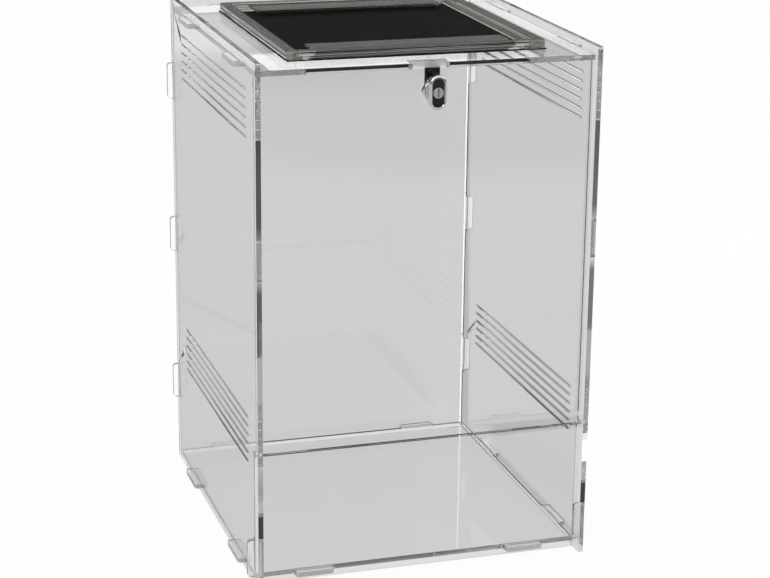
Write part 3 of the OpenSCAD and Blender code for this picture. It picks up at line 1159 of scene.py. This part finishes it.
    def floor_level(self, look: Look) -> Socket:
        """Gives the floor's brightness, to the eye and by way of acrylic and metal.

        Args:
            look: the look that meets it.

        Returns:
            The brightness.
        """
        graph = look.graph
        place = graph.place()
        parts = graph.add("ShaderNodeSeparateXYZ")
        graph.link(place, parts.inputs[0])
        x, y = parts.outputs["X"], parts.outputs["Y"]
        in_x, in_y = (
            graph.math("LESS_THAN", graph.math("ABSOLUTE", value), half)
            for value, half in zip((x, y), self.footprint)
        )
        inside = graph.math("MULTIPLY", in_x, in_y)
        beyond = graph.math("SUBTRACT", y, self.place[1])
        wedge = graph.math("MULTIPLY_ADD", beyond, self.open_left, self.place[0])
        one_sheet = graph.pick(graph.math("LESS_THAN", x, wedge), self.one_sheet, self.seen_white)
        far = graph.span(y, *self.far_from, self.behind_grey, self.far_grey)
        far = graph.pick(self.far_strip.mask(graph, x, y), far, self.far_strip.brightness)
        behind = graph.pick(inside, far, self.under_floor)
        bands = graph.ramp(y, self.floor_reach, self.edge_bands)
        crossed = graph.ramp(y, self.floor_reach, self.crossed_bands)
        trapped = graph.pick(graph.math("MAXIMUM", look.past_one, inside), bands, crossed)
        for card in self.right_strip:
            lift = graph.pick(card.mask(graph, x, y), 1.0, card.brightness)
            trapped = graph.math("MULTIPLY", trapped, lift)
        ahead = look.by_sheets(one_sheet, behind, self.three_sheets)
        seen = look.by_turns(ahead, self.floor_cards(look, place, x, y), trapped)
        return graph.pick(look.straight, seen, self.seen_white * self.floor_lift)

    def build_floor(self) -> None:
        """Makes the pale floor, which shows as background and keeps the object's shadow."""
        bm = bmesh.new()
        bmesh.ops.create_grid(bm, x_segments=1, y_segments=1, size=self.floor_half)
        mesh = bpy.data.meshes.new("floor")
        bm.to_mesh(mesh)
        bm.free()
        material = bpy.data.materials.new("pale_floor")
        graph = empty_graph(material)
        look = Look(graph)
        shine = graph.add("ShaderNodeEmission")
        graph.link(self.floor_level(look), shine.inputs["Strength"])
        lit = graph.add("ShaderNodeBsdfDiffuse", {"Color": (*self.floor_colour, 1.0)})
        mix = graph.add("ShaderNodeMixShader")
        graph.link(graph.pick(look.straight, look.by_way, self.floor_plain), mix.inputs[0])
        graph.link(lit.outputs[0], mix.inputs[1])
        graph.link(shine.outputs[0], mix.inputs[2])
        graph.link(mix.outputs[0], graph.add("ShaderNodeOutputMaterial").inputs["Surface"])
        mesh.materials.append(material)
        floor = bpy.data.objects.new("floor", mesh)
        bpy.context.scene.collection.objects.link(floor)

    def sky_level(self, look: Look) -> Socket:
        """Gives the world's brightness by way of acrylic and metal.

        Args:
            look: the look that meets it.

        Returns:
            The brightness.
        """
        graph = look.graph
        parts = graph.add("ShaderNodeSeparateXYZ")
        graph.link(graph.add("ShaderNodeTexCoord").outputs["Generated"], parts.inputs[0])
        x, y, z = (parts.outputs[part] for part in "XYZ")
        high = graph.span(z, *self.high_from, 0.0, 1.0)
        lowest = graph.span(z, *self.lowest_to, self.lowest_sky, self.low_sky[0])
        low = graph.pick(look.bare, look.by_sheets(lowest, *self.low_sky[1:]), self.bare_sky)
        bearing = graph.math("DIVIDE", graph.math("ABSOLUTE", x), y)
        glow_way = math.tan(math.radians(self.corner_glow.bearing))
        towards = graph.math("COMPARE", bearing, glow_way, self.glow_spread)
        glow = graph.math("MULTIPLY", towards, look.past_two)
        cards = graph.pick(glow, graph.pick(high, low, self.high_sky), self.corner_glow.brightness)
        strips = graph.math(
            "MAXIMUM",
            graph.math("LESS_THAN", bearing, self.strip_bearings[0]),
            graph.math("GREATER_THAN", bearing, self.strip_bearings[1]),
        )
        between = graph.pick(strips, look.by_sheets(*self.trapped_sky), self.trapped_sky[0])
        trapped = graph.pick(high, between, self.high_sky)
        ahead = look.by_sheets(self.one_sheet, self.behind_grey, self.three_sheets)
        return look.by_turns(ahead, cards, trapped)

    def build_world(self) -> None:
        """Makes the surrounding light: white to the eye, cards by way of acrylic and metal."""
        world = bpy.data.worlds.new("studio")
        bpy.context.scene.world = world
        graph = empty_graph(world)
        look = Look(graph)
        around = graph.pick(look.by_way, self.ambient, self.sky_level(look))
        shine = graph.add("ShaderNodeBackground", {"Color": (1.0, 1.0, 1.0, 1.0)})
        graph.link(graph.pick(look.straight, around, self.seen_white), shine.inputs["Strength"])
        graph.link(shine.outputs[0], graph.add("ShaderNodeOutputWorld").inputs["Surface"])

    def build_lamp(self, box: Softbox) -> None:
        """Makes one soft square lamp that faces the object.

        Args:
            box: the lamp.
        """
        data = bpy.data.lights.new(box.name, "AREA")
        data.size = box.size
        data.energy = box.power
        lamp = bpy.data.objects.new(box.name, data)
        place = Vector(box.place)
        turn = (Vector(self.aim) - place).to_track_quat("-Z", "Y").to_matrix().to_4x4()
        lamp.matrix_world = Matrix.Translation(place) @ turn
        bpy.context.scene.collection.objects.link(lamp)

    def build(self) -> None:
        """Builds the camera, the floor, the world and the lamps."""
        scene = bpy.context.scene
        scene.view_settings.view_transform = "Standard"
        scene.cycles.max_bounces = self.bounces
        scene.cycles.transmission_bounces = self.through_bounces
        scene.cycles.glossy_bounces = self.bounces
        self.build_camera()
        self.build_floor()
        self.build_world()
        for box in self.softboxes:
            self.build_lamp(box)


def main() -> None:
    """Builds the sub-assemblies in order round the frame."""
    logging.basicConfig(level=logging.INFO, format="%(name)s %(message)s")
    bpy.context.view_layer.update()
    Studio().build()
    AcrylicShell().build()
    VentLid().build()
    CamLock().build()


if __name__ == "__main__":
    main()
